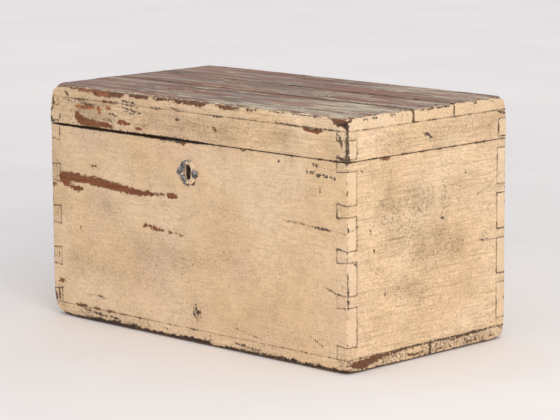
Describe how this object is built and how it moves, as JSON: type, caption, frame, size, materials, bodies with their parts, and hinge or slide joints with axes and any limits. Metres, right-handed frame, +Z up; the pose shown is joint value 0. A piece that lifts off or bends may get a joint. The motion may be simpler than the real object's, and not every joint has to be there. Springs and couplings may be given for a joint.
{
  "type": "wooden money box",
  "caption": "Dovetailed wooden money box with a hinged plank lid, a let-in bolt lock behind an eared keyhole plate, and worn cream paint.",
  "frame": {"origin": "middle of the case's footprint, on the flat underside of the bottom", "axes": "+X along the front to the right, +Y to the back, +Z up; the keyhole faces -Y"},
  "size_m": [0.3914, 0.2185, 0.2255],
  "materials": {
    "painted_wood": "worn cream paint, crazed and chipped to red-brown wood",
    "weathered_wood": "bare weathered planks with remnants of paint",
    "bottom_wood": "worn paint over dark scuffed wood",
    "iron": "dark aged iron",
    "escutcheon_iron": "dark iron showing through flaked paint",
    "spring_steel": "dull spring steel"
  },
  "bodies": {
    "case": {"front_board": "painted_wood", "back_board": "painted_wood", "left_end_board": "painted_wood", "right_end_board": "painted_wood", "bottom_front_plank": "bottom_wood", "bottom_rear_plank": "bottom_wood", "bottom_nails": "iron", "escutcheon": "escutcheon_iron", "escutcheon_sprigs": "iron", "lock_plate": "iron", "lock_case": "iron", "drill_pin": "iron", "bolt_guide_stud": "iron", "lock_sprigs": "iron", "left_hinge_body_leaf": "iron", "right_hinge_body_leaf": "iron", "left_hinge_pin": "iron", "right_hinge_pin": "iron", "hinge_body_screws": "iron"},
    "lid": {"lid_front_rail": "painted_wood", "lid_back_rail": "painted_wood", "lid_left_rail": "painted_wood", "lid_right_rail": "painted_wood", "lid_front_plank": "weathered_wood", "lid_middle_plank": "weathered_wood", "lid_rear_plank": "weathered_wood", "lid_nails": "iron", "link_plate": "iron", "link_plate_sprigs": "iron", "left_hinge_lid_leaf": "iron", "right_hinge_lid_leaf": "iron", "hinge_lid_screws": "iron"},
    "bolt": {"lock_bolt": "iron", "bolt_spring": "spring_steel"}
  },
  "joints": [
    {"name": "lid_hinge", "type": "hinge", "parent": "case", "child": "lid", "pos_m": [0, 0.1088, 0.1868], "axis": [-1, 0, 0], "range_deg": [0, 180]},
    {"name": "bolt_slide", "type": "slide", "parent": "case", "child": "bolt", "axis": [1, 0, 0], "range_m": [0, 0.0065]}
  ]
}
